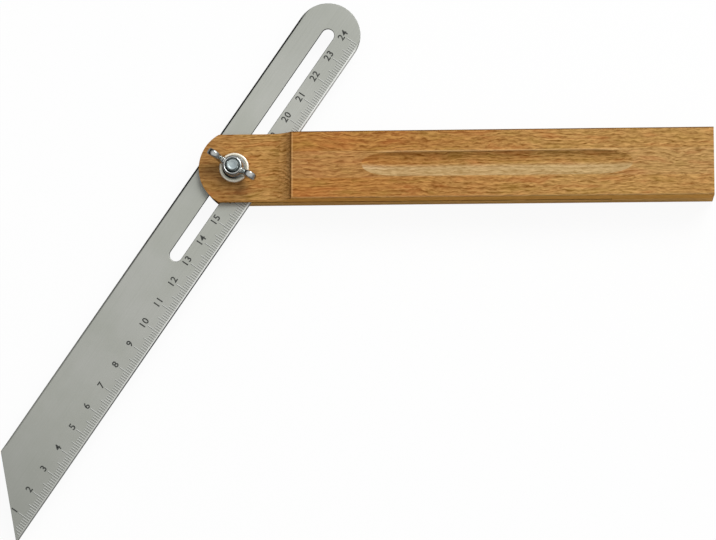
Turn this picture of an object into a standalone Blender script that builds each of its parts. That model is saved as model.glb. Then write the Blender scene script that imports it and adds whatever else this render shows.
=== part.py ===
"""A joiner's sliding bevel: a steel blade that swings and slides in a slotted beech stock.

It lies on the stock's flat back. +X runs along the stock from the clamp bolt to the butt,
+Y across the stock, and +Z up through it. The origin is where the bolt's axis meets the
back plane. Lengths are in metres.
"""

import math

import bmesh
import bpy
from mathutils import Vector
from mathutils.geometry import interpolate_bezier

# Clearance between pieces that touch or slide
FIT_GAP = 0.0003

# Stock
STOCK_WIDTH = 0.027
STOCK_THICKNESS = 0.0205
PIVOT_TO_BUTT = 0.190
HEAD_FULLNESS = 0.0019
HEAD_CENTRE_BEHIND_PIVOT = 0.0011
STOCK_EDGE_RADIUS = 0.0008
CUT_EDGE_EASE = 0.00035

# Recess for the wing nut in the front of the head
RECESS_DEPTH = 0.0066
RECESS_LENGTH = 0.0234
COVE_RADIUS = 0.011

# Saw kerf that holds the blade
KERF_LENGTH = 0.150

# Finger groove along the front
GROOVE_START = 0.051
GROOVE_LENGTH = 0.1075
GROOVE_WIDTH = 0.0098
GROOVE_DEPTH = 0.0024
GROOVE_RUN_IN_RADIUS = 0.052

# Blade
BLADE_LENGTH = 0.250
BLADE_WIDTH = 0.0262
BLADE_THICKNESS = 0.0012
PIVOT_TO_TIP = 0.1715
BLADE_SLOT_START = 0.1273
TIP_ANGLE = math.radians(45)

# Clamp bolt
SHANK_DIAMETER = 0.0046
THREAD_DIAMETER = 0.005
BOLT_HEAD_DIAMETER = 0.0108
BOLT_HEAD_THICKNESS = 0.0024
BOLT_HEAD_CHAMFER = 0.0004
BOLT_END_CHAMFER = 0.0005
BOLT_STANDS_PROUD = 0.0012

# Washer
WASHER_DIAMETER = 0.0119
WASHER_THICKNESS = 0.0012
WASHER_EDGE = 0.0003

# Wing nut
HUB_FOOT_DIAMETER = 0.0094
HUB_TOP_DIAMETER = 0.0079
HUB_HEIGHT = 0.006
HUB_EDGE = 0.0005
WING_SPAN = 0.0222
WING_HEIGHT = 0.0105
EAR_RADIUS = 0.0029
WING_ROOT_THICKNESS = 0.0032
WING_TIP_THICKNESS = 0.0025
EAR_LOWER_ANGLE = math.radians(-20)
EAR_TOP_ANGLE = math.radians(65)
EAR_UPPER_ANGLE = math.radians(145)

# Rest pose
BLADE_ANGLE = math.radians(55.5)
WING_ANGLE = math.radians(-31)

# How far a cutter runs past what it cuts
OVERRUN = 0.002

# Facets round a full turn of a small and of a large curve
SMALL_FACETS = 48
LARGE_FACETS = 96
EAR_STEPS = 8
WING_EDGE_STEPS = 10
WING_SECTION_POINTS = 20
GROOVE_END_STEPS = 14
EASE_SEGMENTS = 2

# An edge that turns more than this is eased on wood, or shaded sharp on metal
EASED_EDGE_ANGLE = math.radians(40)
SHARP_EDGE_ANGLE = math.radians(35)

# Power that turns a wing's oval section into a rounded rectangle
SECTION_FLATNESS = 0.5

# The head's arc is a little fuller than a half circle across the stock
HEAD_RADIUS = STOCK_WIDTH / 2 + HEAD_FULLNESS
HEAD_END = HEAD_CENTRE_BEHIND_PIVOT - HEAD_RADIUS

# Heights that follow from the sizes above
KERF_HEIGHT = BLADE_THICKNESS + 2 * FIT_GAP
KERF_FLOOR = (STOCK_THICKNESS - KERF_HEIGHT) / 2
BLADE_FLOOR = KERF_FLOOR + FIT_GAP
RECESS_FLOOR = STOCK_THICKNESS - RECESS_DEPTH
WASHER_FLOOR = RECESS_FLOOR + FIT_GAP
NUT_FLOOR = WASHER_FLOOR + WASHER_THICKNESS + FIT_GAP
BOLT_TOP = NUT_FLOOR + HUB_HEIGHT + BOLT_STANDS_PROUD

# Widths and bores that follow from the sizes above
BLADE_SLOT_WIDTH = SHANK_DIAMETER + 2 * FIT_GAP
BOLT_BORE_RADIUS = THREAD_DIAMETER / 2 + FIT_GAP

# Shares of a wing's reach: how far the two handles of each flowing edge stretch
LOWER_EDGE_HANDLE_SHARES = (0.32, 0.30)
UPPER_EDGE_HANDLE_SHARES = (0.16, 0.20)

# Shares of the hub's height where the wing's lower and upper edges meet it
WING_FOOT_SHARE = 0.16
WING_SHOULDER_SHARE = 0.92

# Share of the hub's wall that a wing's root reaches into
WING_ROOT_SHARE = 0.6


def clear_scene():
    for obj in list(bpy.data.objects):
        bpy.data.objects.remove(obj, do_unlink=True)


def make_material(name, color, roughness, metallic):
    material = bpy.data.materials.new(name)
    material.use_nodes = True
    shader = material.node_tree.nodes["Principled BSDF"]
    shader.inputs["Base Color"].default_value = (*color, 1)
    shader.inputs["Roughness"].default_value = roughness
    shader.inputs["Metallic"].default_value = metallic
    return material


def new_object(name, bm, material=None):
    """Turns a bmesh into an object of the scene, with its faces pointing out."""
    bmesh.ops.recalc_face_normals(bm, faces=bm.faces)
    mesh = bpy.data.meshes.new(name)
    bm.to_mesh(mesh)
    bm.free()
    obj = bpy.data.objects.new(name, mesh)
    bpy.context.scene.collection.objects.link(obj)
    if material:
        mesh.materials.append(material)
    return obj


def shade_round(obj):
    obj.data.shade_smooth()
    obj.data.set_sharp_from_angle(angle=SHARP_EDGE_ANGLE)


def place(obj, parent, height=0.0, turn=0.0):
    """Hangs an object on the pivot axis, at a height above the back plane."""
    obj.parent = parent
    obj.location = (0, 0, height)
    obj.rotation_euler = (0, 0, turn)


def boolean(obj, other, operation):
    """Applies the shape of a helper to an object, and keeps the helper as a hidden guide."""
    other.hide_render = True
    other.display_type = "WIRE"
    modifier = obj.modifiers.new(other.name, "BOOLEAN")
    modifier.operation = operation
    modifier.solver = "EXACT"
    modifier.object = other
    return modifier


def ease_edges(obj, width):
    """Rounds over the sharp edges that an object has so far."""
    modifier = obj.modifiers.new("eased_edges", "BEVEL")
    modifier.width = width
    modifier.segments = EASE_SEGMENTS
    modifier.limit_method = "ANGLE"
    modifier.angle_limit = EASED_EDGE_ANGLE


def arc(centre, radius, start, end, facets, steps=None):
    """Points of an arc from one angle to another, with this many facets to a full turn."""
    steps = steps or max(2, round(facets * abs(end - start) / math.tau))
    points = []
    for step in range(steps + 1):
        angle = start + (end - start) * step / steps
        points.append(
            (centre[0] + radius * math.cos(angle), centre[1] + radius * math.sin(angle))
        )
    return points


def flowing_edge(start, start_handle, end_handle, end, steps):
    """Points of one cubic curve, without its first and last."""
    ends = [Vector((*point, 0)) for point in (start, start_handle, end_handle, end)]
    return [(point.x, point.y) for point in interpolate_bezier(*ends, steps)[1:-1]]


def prism(outline, low, high, to_space):
    """A straight-sided bmesh body: an outline of (u, v) points, drawn from low to high along w."""
    bm = bmesh.new()
    rings = []
    for w in (low, high):
        rings.append([bm.verts.new(to_space(u, v, w)) for u, v in outline])
    bm.faces.new(rings[0])
    bm.faces.new(rings[1])
    bridge(bm, rings)
    return bm


def bridge(bm, rings):
    """Joins each ring of vertices to the next with quads."""
    for lower, upper in zip(rings, rings[1:]):
        for index, vertex in enumerate(lower):
            following = (index + 1) % len(lower)
            bm.faces.new((vertex, lower[following], upper[following], upper[index]))


def upright(u, v, w):
    """Outline seen from above, drawn along Z."""
    return (u, v, w)


def along_width(u, v, w):
    """Outline seen from the side, drawn along Y."""
    return (u, w, v)


def along_length(u, v, w):
    """Outline seen from the end, drawn along X."""
    return (w, u, v)


def turned(profile, facets):
    """A turned bmesh body from (radius, height) points. The first and last lie on the axis."""
    bm = bmesh.new()
    rings = []
    for radius, height in profile[1:-1]:
        ring = []
        for step in range(facets):
            angle = math.tau * step / facets
            ring.append(bm.verts.new((radius * math.cos(angle), radius * math.sin(angle), height)))
        rings.append(ring)
    bridge(bm, rings)
    bm.faces.new(rings[0])
    bm.faces.new(rings[-1])
    return bm


def turned_ring(profile, facets):
    """A turned bmesh ring from a closed loop of (radius, height) points, clear of the axis."""
    bm = bmesh.new()
    sections = []
    for step in range(facets):
        angle = math.tau * step / facets
        section = []
        for radius, height in profile:
            section.append(
                bm.verts.new((radius * math.cos(angle), radius * math.sin(angle), height))
            )
        sections.append(section)
    bridge(bm, [*sections, sections[0]])
    return bm


def disc_cutter(name, radius, low, high):
    outline = arc((0, 0), radius, 0, math.tau, SMALL_FACETS)[:-1]
    return new_object(name, prism(outline, low, high, upright))


def rounded_bar():
    """The stock's plain bar, with its four long edges eased."""
    half_width = STOCK_WIDTH / 2 - STOCK_EDGE_RADIUS
    low = STOCK_EDGE_RADIUS
    high = STOCK_THICKNESS - STOCK_EDGE_RADIUS
    corners = ((half_width, high), (-half_width, high), (-half_width, low), (half_width, low))
    outline = []
    for quarter, corner in enumerate(corners):
        start = quarter * math.pi / 2
        outline += arc(corner, STOCK_EDGE_RADIUS, start, start + math.pi / 2, SMALL_FACETS // 2)
    return prism(outline, HEAD_END - OVERRUN, PIVOT_TO_BUTT, along_length)


def head_outline_keeper():
    """Outline that the stock is trimmed to: a round head that meets the long edges at a slight corner."""
    reach = STOCK_WIDTH / 2 + OVERRUN
    corner_angle = math.asin(STOCK_WIDTH / 2 / HEAD_RADIUS)
    centre = (HEAD_CENTRE_BEHIND_PIVOT, 0)
    head = arc(centre, HEAD_RADIUS, math.pi - corner_angle, math.pi + corner_angle, LARGE_FACETS)
    top_corner = head[0]
    bottom_corner = head[-1]
    butt = PIVOT_TO_BUTT + OVERRUN
    outline = [
        *head,
        (bottom_corner[0], -reach),
        (butt, -reach),
        (butt, reach),
        (top_corner[0], reach),
    ]
    bm = prism(outline, -OVERRUN, STOCK_THICKNESS + OVERRUN, upright)
    return new_object("head_outline", bm)


def recess_cutter():
    """Clears the front of the head down to a flat floor, and rises to the front in a hollow cove."""
    rise = RECESS_DEPTH
    cove_run = math.sqrt(rise * (2 * COVE_RADIUS - rise))
    cove_start = RECESS_LENGTH - cove_run
    cove_centre = (cove_start, RECESS_FLOOR + COVE_RADIUS)
    end_angle = -math.pi / 2 + math.asin(cove_run / COVE_RADIUS)
    above = STOCK_THICKNESS + OVERRUN
    front_end = HEAD_END - 2 * OVERRUN
    outline = [
        (front_end, RECESS_FLOOR),
        *arc(cove_centre, COVE_RADIUS, -math.pi / 2, end_angle, LARGE_FACETS),
        (RECESS_LENGTH, above),
        (front_end, above),
    ]
    reach = STOCK_WIDTH / 2 + OVERRUN
    return new_object("recess_cutter", prism(outline, -reach, reach, along_width))


def kerf_cutter():
    front_end = HEAD_END - 2 * OVERRUN
    reach = STOCK_WIDTH / 2 + OVERRUN
    outline = [
        (front_end, KERF_FLOOR),
        (KERF_LENGTH, KERF_FLOOR),
        (KERF_LENGTH, KERF_FLOOR + KERF_HEIGHT),
        (front_end, KERF_FLOOR + KERF_HEIGHT),
    ]
    return new_object("kerf_cutter", prism(outline, -reach, reach, along_width))


def groove_cutter():
    """A round-nosed cutter's path: level along the middle, lifting out along an arc at each end."""
    half_width = GROOVE_WIDTH / 2
    nose_radius = (half_width**2 + GROOVE_DEPTH**2) / (2 * GROOVE_DEPTH)
    lift = GROOVE_DEPTH + OVERRUN
    run_out = math.sqrt(lift * (2 * GROOVE_RUN_IN_RADIUS - lift))
    run_in = math.sqrt(GROOVE_DEPTH * (2 * GROOVE_RUN_IN_RADIUS - GROOVE_DEPTH))
    level_start = GROOVE_START + run_in
    level_end = GROOVE_START + GROOVE_LENGTH - run_in
    nose_height = STOCK_THICKNESS - GROOVE_DEPTH + nose_radius
    path = []
    for step in range(GROOVE_END_STEPS + 1):
        back = run_out * (1 - step / GROOVE_END_STEPS)
        rise = GROOVE_RUN_IN_RADIUS - math.sqrt(GROOVE_RUN_IN_RADIUS**2 - back**2)
        path.append((level_start - back, nose_height + rise))
    mirror_line = level_start + level_end
    path += [(mirror_line - x, height) for x, height in reversed(path)]
    bm = bmesh.new()
    rings = []
    for x, height in path:
        section = arc((0, height), nose_radius, 0, math.tau, LARGE_FACETS)[:-1]
        rings.append([bm.verts.new((x, y, z)) for y, z in section])
    bridge(bm, rings)
    bm.faces.new(rings[0])
    bm.faces.new(rings[-1])
    return new_object("groove_cutter", bm)


def make_stock(material):
    """One beech bar: round head, nut recess, blade kerf, finger groove, bolt hole, head counterbore."""
    stock = new_object("stock", rounded_bar(), material)
    counterbore_radius = BOLT_HEAD_DIAMETER / 2 + FIT_GAP
    counterbore_depth = BOLT_HEAD_THICKNESS + FIT_GAP
    boolean(stock, head_outline_keeper(), "INTERSECT")
    boolean(stock, recess_cutter(), "DIFFERENCE")
    boolean(stock, kerf_cutter(), "DIFFERENCE")
    ease_edges(stock, CUT_EDGE_EASE)
    boolean(stock, groove_cutter(), "DIFFERENCE")
    hole = disc_cutter("bolt_hole_cutter", BOLT_BORE_RADIUS, -OVERRUN, RECESS_FLOOR + OVERRUN)
    boolean(stock, hole, "DIFFERENCE")
    seat = disc_cutter("head_seat_cutter", counterbore_radius, -OVERRUN, counterbore_depth)
    boolean(stock, seat, "DIFFERENCE")
    return stock


def blade_outline():
    """Pointed at one end, round at the other. The point lies on the lower, graduated edge."""
    half_width = BLADE_WIDTH / 2
    tip = -PIVOT_TO_TIP
    cut_run = BLADE_WIDTH / math.tan(TIP_ANGLE)
    end_centre = (tip + BLADE_LENGTH - half_width, 0)
    return [
        (tip + cut_run, half_width),
        (tip, -half_width),
        *arc(end_centre, half_width, -math.pi / 2, math.pi / 2, LARGE_FACETS),
    ]


def blade_slot_cutter():
    """The long slot: its far end is concentric with the blade's round end."""
    slot_radius = BLADE_SLOT_WIDTH / 2
    near_centre = (-PIVOT_TO_TIP + BLADE_SLOT_START + slot_radius, 0)
    far_centre = (-PIVOT_TO_TIP + BLADE_LENGTH - BLADE_WIDTH / 2, 0)
    outline = [
        *arc(far_centre, slot_radius, -math.pi / 2, math.pi / 2, SMALL_FACETS),
        *arc(near_centre, slot_radius, math.pi / 2, math.pi * 3 / 2, SMALL_FACETS),
    ]
    bm = prism(outline, -OVERRUN, BLADE_THICKNESS + OVERRUN, upright)
    return new_object("blade_slot_cutter", bm)


def make_blade(material, parent):
    blade = new_object("blade", prism(blade_outline(), 0, BLADE_THICKNESS, upright), material)
    cutter = blade_slot_cutter()
    boolean(blade, cutter, "DIFFERENCE")
    for piece in (blade, cutter):
        place(piece, parent, BLADE_FLOOR, BLADE_ANGLE)
    return blade


def make_clamp_bolt(material, parent):
    """A low flush head, a plain shank through the kerf, and the thread's full diameter in front."""
    head_radius = BOLT_HEAD_DIAMETER / 2
    shank_radius = SHANK_DIAMETER / 2
    thread_radius = THREAD_DIAMETER / 2
    thread_start = KERF_FLOOR + KERF_HEIGHT + FIT_GAP
    taper = thread_radius - shank_radius
    profile = [
        (0, 0),
        (head_radius - BOLT_HEAD_CHAMFER, 0),
        (head_radius, BOLT_HEAD_CHAMFER),
        (head_radius, BOLT_HEAD_THICKNESS),
        (shank_radius, BOLT_HEAD_THICKNESS),
        (shank_radius, thread_start),
        (thread_radius, thread_start + taper),
        (thread_radius, BOLT_TOP - BOLT_END_CHAMFER),
        (thread_radius - BOLT_END_CHAMFER, BOLT_TOP),
        (0, BOLT_TOP),
    ]
    bolt = new_object("clamp_bolt", turned(profile, SMALL_FACETS), material)
    shade_round(bolt)
    place(bolt, parent)
    return bolt


def make_washer(material, parent):
    inner = BOLT_BORE_RADIUS
    outer = WASHER_DIAMETER / 2
    profile = [
        (inner, 0),
        (outer - WASHER_EDGE, 0),
        (outer, WASHER_EDGE),
        (outer, WASHER_THICKNESS - WASHER_EDGE),
        (outer - WASHER_EDGE, WASHER_THICKNESS),
        (inner, WASHER_THICKNESS),
    ]
    washer = new_object("washer", turned_ring(profile, SMALL_FACETS), material)
    shade_round(washer)
    place(washer, parent, WASHER_FLOOR)
    return washer


def nut_hub():
    """A round hub that tapers upwards, with its two rims eased and the bolt's bore through it."""
    bore = BOLT_BORE_RADIUS
    foot = HUB_FOOT_DIAMETER / 2
    top = HUB_TOP_DIAMETER / 2
    lead_in = min(HUB_EDGE, (top - HUB_EDGE - bore) / 2)
    profile = [
        (bore, 0),
        (foot - HUB_EDGE, 0),
        (foot, HUB_EDGE),
        (top, HUB_HEIGHT - HUB_EDGE),
        (top - HUB_EDGE, HUB_HEIGHT),
        (bore + lead_in, HUB_HEIGHT),
        (bore, HUB_HEIGHT - lead_in),
    ]
    return turned_ring(profile, SMALL_FACETS)


def wing_edges():
    """Lower and upper edge of a wing seen from the side, from the hub to the top of its round ear."""
    reach = WING_SPAN / 2
    hub_wall = HUB_TOP_DIAMETER / 2 - BOLT_BORE_RADIUS
    root = HUB_TOP_DIAMETER / 2 - hub_wall * WING_ROOT_SHARE
    foot = (root, HUB_HEIGHT * WING_FOOT_SHARE)
    shoulder = (root, HUB_HEIGHT * WING_SHOULDER_SHARE)
    centre = (reach - EAR_RADIUS, WING_HEIGHT - EAR_RADIUS)
    edges = []
    for hub_point, ear_start, shares in (
        (foot, EAR_LOWER_ANGLE, LOWER_EDGE_HANDLE_SHARES),
        (shoulder, EAR_UPPER_ANGLE, UPPER_EDGE_HANDLE_SHARES),
    ):
        ear = arc(centre, EAR_RADIUS, ear_start, EAR_TOP_ANGLE, SMALL_FACETS, EAR_STEPS)
        side = math.copysign(1, EAR_TOP_ANGLE - ear_start)
        hub_handle = (hub_point[0] + reach * shares[0], hub_point[1])
        ear_handle = (
            ear[0][0] + side * reach * shares[1] * math.sin(ear_start),
            ear[0][1] - side * reach * shares[1] * math.cos(ear_start),
        )
        curve = flowing_edge(hub_point, hub_handle, ear_handle, ear[0], WING_EDGE_STEPS)
        edges.append([hub_point, *curve, *ear])
    return edges


def wing_body():
    """One wing, lofted through flattened oval sections that join its two edges."""
    reach = WING_SPAN / 2
    lower_edge, upper_edge = wing_edges()
    bm = bmesh.new()
    rings = []
    for lower, upper in zip(lower_edge[:-1], upper_edge[:-1]):
        middle = ((lower[0] + upper[0]) / 2, (lower[1] + upper[1]) / 2)
        half = ((upper[0] - lower[0]) / 2, (upper[1] - lower[1]) / 2)
        thinning = (WING_ROOT_THICKNESS - WING_TIP_THICKNESS) * middle[0] / reach
        half_thickness = min((WING_ROOT_THICKNESS - thinning) / 2, math.hypot(*half))
        ring = []
        for step in range(WING_SECTION_POINTS):
            angle = math.tau * step / WING_SECTION_POINTS
            along = flattened(math.cos(angle))
            across = flattened(math.sin(angle))
            point = (middle[0] + half[0] * along, half_thickness * across, middle[1] + half[1] * along)
            ring.append(bm.verts.new(point))
        rings.append(ring)
    bridge(bm, rings)
    bm.faces.new(rings[0])
    bm.faces.new(rings[-1])
    return bm


def flattened(value):
    """Pushes a sine or cosine outwards, so that an oval becomes a rounded rectangle."""
    return math.copysign(abs(value) ** SECTION_FLATNESS, value)


def make_wing_nut(material, parent):
    nut = new_object("wing_nut", nut_hub(), material)
    place(nut, parent, NUT_FLOOR, WING_ANGLE)
    for number in range(2):
        wing = new_object(f"wing_{number + 1}", wing_body())
        place(wing, parent, NUT_FLOOR, WING_ANGLE + number * math.pi)
        boolean(nut, wing, "UNION")
    shade_round(nut)
    return nut


def main():
    clear_scene()
    beech = make_material("beech", (0.46, 0.22, 0.075), 0.5, 0.0)
    blade_steel = make_material("satin_blade_steel", (0.36, 0.37, 0.35), 0.4, 0.9)
    bolt_steel = make_material("zinc_plated_bolt", (0.55, 0.57, 0.56), 0.3, 1.0)
    washer_steel = make_material("zinc_plated_washer", (0.6, 0.6, 0.58), 0.25, 1.0)
    nut_steel = make_material("zinc_plated_wing_nut", (0.56, 0.58, 0.57), 0.28, 1.0)

    pivot = bpy.data.objects.new("pivot_axis", None)
    bpy.context.scene.collection.objects.link(pivot)
    stock = make_stock(beech)
    pivot.parent = stock
    make_blade(blade_steel, pivot)
    make_clamp_bolt(bolt_steel, pivot)
    make_washer(washer_steel, pivot)
    make_wing_nut(nut_steel, pivot)


main()
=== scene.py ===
"""Looks of a joiner's sliding bevel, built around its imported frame.

A varnished beech stock, a satin steel blade with an etched centimetre scale, and a
zinc-plated clamp bolt, washer and wing nut. Lengths are in metres, in the frame's own axes:
+X along the stock from the bolt to the butt, +Y across it, +Z up from its flat back.
"""

import math
import bmesh
import bpy
from mathutils import Matrix, Vector
from mathutils.geometry import interpolate_bezier


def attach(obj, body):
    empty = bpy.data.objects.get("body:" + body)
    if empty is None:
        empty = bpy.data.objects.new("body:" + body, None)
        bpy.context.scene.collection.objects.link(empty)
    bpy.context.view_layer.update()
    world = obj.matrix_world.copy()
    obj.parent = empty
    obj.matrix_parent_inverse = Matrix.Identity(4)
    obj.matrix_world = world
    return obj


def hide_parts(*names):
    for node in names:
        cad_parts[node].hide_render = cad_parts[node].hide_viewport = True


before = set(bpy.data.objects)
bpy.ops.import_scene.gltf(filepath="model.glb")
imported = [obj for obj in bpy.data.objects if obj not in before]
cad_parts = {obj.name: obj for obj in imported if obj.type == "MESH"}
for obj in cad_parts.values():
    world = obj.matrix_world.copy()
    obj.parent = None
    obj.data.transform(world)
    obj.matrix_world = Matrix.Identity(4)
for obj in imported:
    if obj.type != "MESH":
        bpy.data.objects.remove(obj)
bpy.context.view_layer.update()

MM = 0.001

# Stock
STOCK_WIDTH = 27 * MM
STOCK_THICKNESS = 20.5 * MM
PIVOT_TO_BUTT = 190 * MM
HEAD_RADIUS = 15.4 * MM
HEAD_CENTRE = 1.1 * MM
LONG_EDGE_RADIUS = 0.8 * MM
CUT_EDGE_EASE = 0.35 * MM
RECESS_FLOOR = 13.9 * MM
RECESS_LENGTH = 23.4 * MM
COVE_RADIUS = 11 * MM
KERF_FLOOR = 9.35 * MM
KERF_HEIGHT = 1.8 * MM
KERF_LENGTH = 150 * MM
GROOVE_START = 51 * MM
GROOVE_LENGTH = 107.5 * MM
GROOVE_WIDTH = 9.8 * MM
GROOVE_DEPTH = 2.4 * MM
GROOVE_RUN_IN_RADIUS = 52 * MM

# Blade
BLADE_LENGTH = 250 * MM
BLADE_WIDTH = 26.2 * MM
BLADE_THICKNESS = 1.2 * MM
BLADE_FLOOR = 9.65 * MM
PIVOT_TO_TIP = 171.5 * MM
SLOT_START = 127.3 * MM
SLOT_WIDTH = 5.2 * MM
BLADE_ANGLE = math.radians(55.5)
ROLLED_EDGE = 0.95 * MM
EDGE_DROP = 0.45 * MM
SHEARED_EDGE = 0.14 * MM
SLOT_EDGE = 0.24 * MM
EDGE_CHANGE = 4 * MM
TIP_BLUNTNESS = 0.45 * MM

# First and last point of the 45-degree cut, from the tip
CUT_START = 0.5 * MM
CUT_END = BLADE_WIDTH - 1 * MM

# Points of the round end that stay rolled, from each side, and over which the rolling fades
ROLLED_POINTS = 4
FADING_POINTS = 10

# Scale on the blade
MARK_PITCH = 1 * MM
SCALE_ZERO = 0.3 * MM
MARK_WIDTH = 0.42 * MM
MARK_START = 0.85 * MM
MARK_LENGTHS = {10: 6.1 * MM, 5: 4.7 * MM, 1: 3.5 * MM}
LAST_MARK = 240
MARK_PROUD = 0.012 * MM
MARK_SUNK = 0.05 * MM
NUMBER_HEIGHT = 2.8 * MM
NUMBER_BASELINE = 6.8 * MM
NUMBER_WEIGHT = 0.028
NUMBER_SPACING = 1.12
FONT_DIGIT_SHARE = 0.73

# Clamp bolt
SHANK_RADIUS = 2.3 * MM
THREAD_RADIUS = 2.5 * MM
THREAD_PITCH = 0.8 * MM
THREAD_DEPTH = 0.43 * MM
THREAD_STEEPNESS = 1.4
THREAD_CREST_FLAT = 0.2
THREAD_START = 11.45 * MM
BOLT_HEAD_RADIUS = 5.4 * MM
BOLT_HEAD_THICKNESS = 2.4 * MM
BOLT_HEAD_DISH_RADIUS = 0.9 * MM
BOLT_END_CHAMFER = 0.55 * MM
BOLT_TOP = 22.9 * MM
BOLT_BORE_RADIUS = 2.8 * MM

# Washer
WASHER_RADIUS = 5.95 * MM
WASHER_THICKNESS = 1.2 * MM
WASHER_FLOOR = 14.2 * MM

# Wing nut
NUT_FLOOR = 15.7 * MM
HUB_FOOT_RADIUS = 4.7 * MM
HUB_TOP_RADIUS = 3.95 * MM
HUB_HEIGHT = 6 * MM
HUB_EDGE = 0.5 * MM
WING_REACH = 11.1 * MM
WING_HEIGHT = 10.5 * MM
EAR_RADIUS = 2.9 * MM
WING_ROOT_THICKNESS = 3.5 * MM
WING_TIP_THICKNESS = 2.5 * MM
SECTION_FLATNESS = 0.5
WING_ANGLE = math.radians(-31)
EAR_TOP = math.radians(65)
EAR_STEPS = 24

# Lower and upper edge of a wing: its start as a share of the hub's height, the angle at which it
# meets the ear, and how far the two handles of its curve reach as shares of the wing's reach
WING_LOWER_EDGE = {"foot": 0.16, "meets_ear": math.radians(-20), "near": 0.32, "far": 0.30}
WING_UPPER_EDGE = {"foot": 0.92, "meets_ear": math.radians(145), "near": 0.16, "far": 0.20}

# How the nut's hub and wings are grown together
NUT_VOXEL = 0.14 * MM
NUT_SMOOTHING_ROUNDS = 7
NUT_FACE_SHARE = 0.35

# How far a cutter runs past what it cuts, and the gap round a piece that sits in another
OVERRUN = 2 * MM
FIT_GAP = 0.3 * MM

# Studio, in metres and watts
FLOOR_REACH = 8.0
SOFTBOX_PLACE = (0.71, 0.79, 1.23)
SOFTBOX_AIM = (0.05, 0, 0)
SOFTBOX_SIZE = 0.8
SOFTBOX_POWER = 18.7
BRIGHT_SIDE = (0.42, 0.6, 0.68)
CAMERA_LENS = 158.876
CAMERA_PLACE = (0.13293, -0.19551, 1.25288)
CAMERA_RIGHT = (0.99773, -0.00038, -0.06731)
CAMERA_DOWN = (-0.00866, -0.99239, -0.12286)
CAMERA_FORWARD = (-0.06675, 0.12316, -0.99014)


def new_object(name, bm):
    """Turns a bmesh into an object of the scene, with its faces pointing out."""
    bmesh.ops.recalc_face_normals(bm, faces=bm.faces)
    mesh = bpy.data.meshes.new(name)
    bm.to_mesh(mesh)
    bm.free()
    obj = bpy.data.objects.new(name, mesh)
    bpy.context.scene.collection.objects.link(obj)
    return obj


def with_modifiers_applied(obj):
    """Gives an object the mesh that its modifiers make."""
    evaluated = obj.evaluated_get(bpy.context.evaluated_depsgraph_get())
    shaped = bpy.data.meshes.new_from_object(evaluated)
    obj.modifiers.clear()
    obj.data = shaped
    return obj


def boolean(obj, other, operation):
    """Cuts an object with a helper, or joins the helper to it, and clears the helper away."""
    modifier = obj.modifiers.new(other.name, "BOOLEAN")
    modifier.operation = operation
    modifier.solver = "EXACT"
    modifier.object = other
    with_modifiers_applied(obj)
    bpy.data.objects.remove(other, do_unlink=True)


def ease_edges(obj, width, segments):
    """Rounds over the sharp edges that an object has so far."""
    modifier = obj.modifiers.new("eased_edges", "BEVEL")
    modifier.width = width
    modifier.segments = segments
    modifier.limit_method = "ANGLE"
    modifier.angle_limit = math.radians(40)
    with_modifiers_applied(obj)


def shade_flat_faces_true(obj):
    """Smooth shading that keeps the large flat faces flat beside their rounded edges."""
    obj.data.shade_smooth()
    obj.data.set_sharp_from_angle(angle=math.radians(42))
    modifier = obj.modifiers.new("face_weighted_normals", "WEIGHTED_NORMAL")
    modifier.keep_sharp = True
    with_modifiers_applied(obj)


def place(obj, height, turn):
    """Sets a piece on the pivot axis, at a height above the back plane."""
    obj.data.transform(Matrix.Translation((0, 0, height)) @ Matrix.Rotation(turn, 4, "Z"))


def arc(centre, radius, start, end, facets):
    """Points of an arc from one angle to another, with this many facets to a full turn."""
    steps = max(2, round(facets * abs(end - start) / math.tau))
    points = []
    for step in range(steps + 1):
        angle = start + (end - start) * step / steps
        points.append(
            (centre[0] + radius * math.cos(angle), centre[1] + radius * math.sin(angle))
        )
    return points


def bridge(bm, rings):
    """Joins each ring of vertices to the next with quads."""
    for lower, upper in zip(rings, rings[1:]):
        for index, vertex in enumerate(lower):
            following = (index + 1) % len(lower)
            bm.faces.new((vertex, lower[following], upper[following], upper[index]))


def prism(outline, low, high, to_space):
    """A straight-sided body: an outline of (u, v) points, drawn from low to high along w."""
    bm = bmesh.new()
    rings = [[bm.verts.new(to_space(u, v, w)) for u, v in outline] for w in (low, high)]
    bm.faces.new(rings[0])
    bm.faces.new(rings[1])
    bridge(bm, rings)
    return bm


def upright(u, v, w):
    return (u, v, w)


def along_width(u, v, w):
    return (u, w, v)


def along_length(u, v, w):
    return (w, u, v)


def capped_rings(rings_of_points):
    """A closed body skinned over rings of points and capped at both ends."""
    bm = bmesh.new()
    rings = [[bm.verts.new(point) for point in points] for points in rings_of_points]
    bridge(bm, rings)
    bm.faces.new(rings[0])
    bm.faces.new(rings[-1])
    return bm


def round_ring(radius, height, facets):
    """Points of one level ring round the pivot axis."""
    return [(x, y, height) for x, y in arc((0, 0), radius, 0, math.tau, facets)[:-1]]


def turned_ring(profile, facets):
    """A turned ring from a closed loop of (radius, height) points, clear of the axis."""
    bm = bmesh.new()
    sections = []
    for step in range(facets):
        angle = math.tau * step / facets
        turn = (math.cos(angle), math.sin(angle))
        sections.append([bm.verts.new((r * turn[0], r * turn[1], z)) for r, z in profile])
    bridge(bm, [*sections, sections[0]])
    return bm


# Stock


def stock_bar():
    """The stock's plain bar, with its four long edges rounded."""
    side = STOCK_WIDTH / 2 - LONG_EDGE_RADIUS
    low = LONG_EDGE_RADIUS
    high = STOCK_THICKNESS - LONG_EDGE_RADIUS
    outline = []
    for quarter, corner in enumerate(((side, high), (-side, high), (-side, low), (side, low))):
        start = quarter * math.pi / 2
        outline += arc(corner, LONG_EDGE_RADIUS, start, start + math.pi / 2, 32)
    return prism(outline, HEAD_CENTRE - HEAD_RADIUS - OVERRUN, PIVOT_TO_BUTT, along_length)


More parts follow.
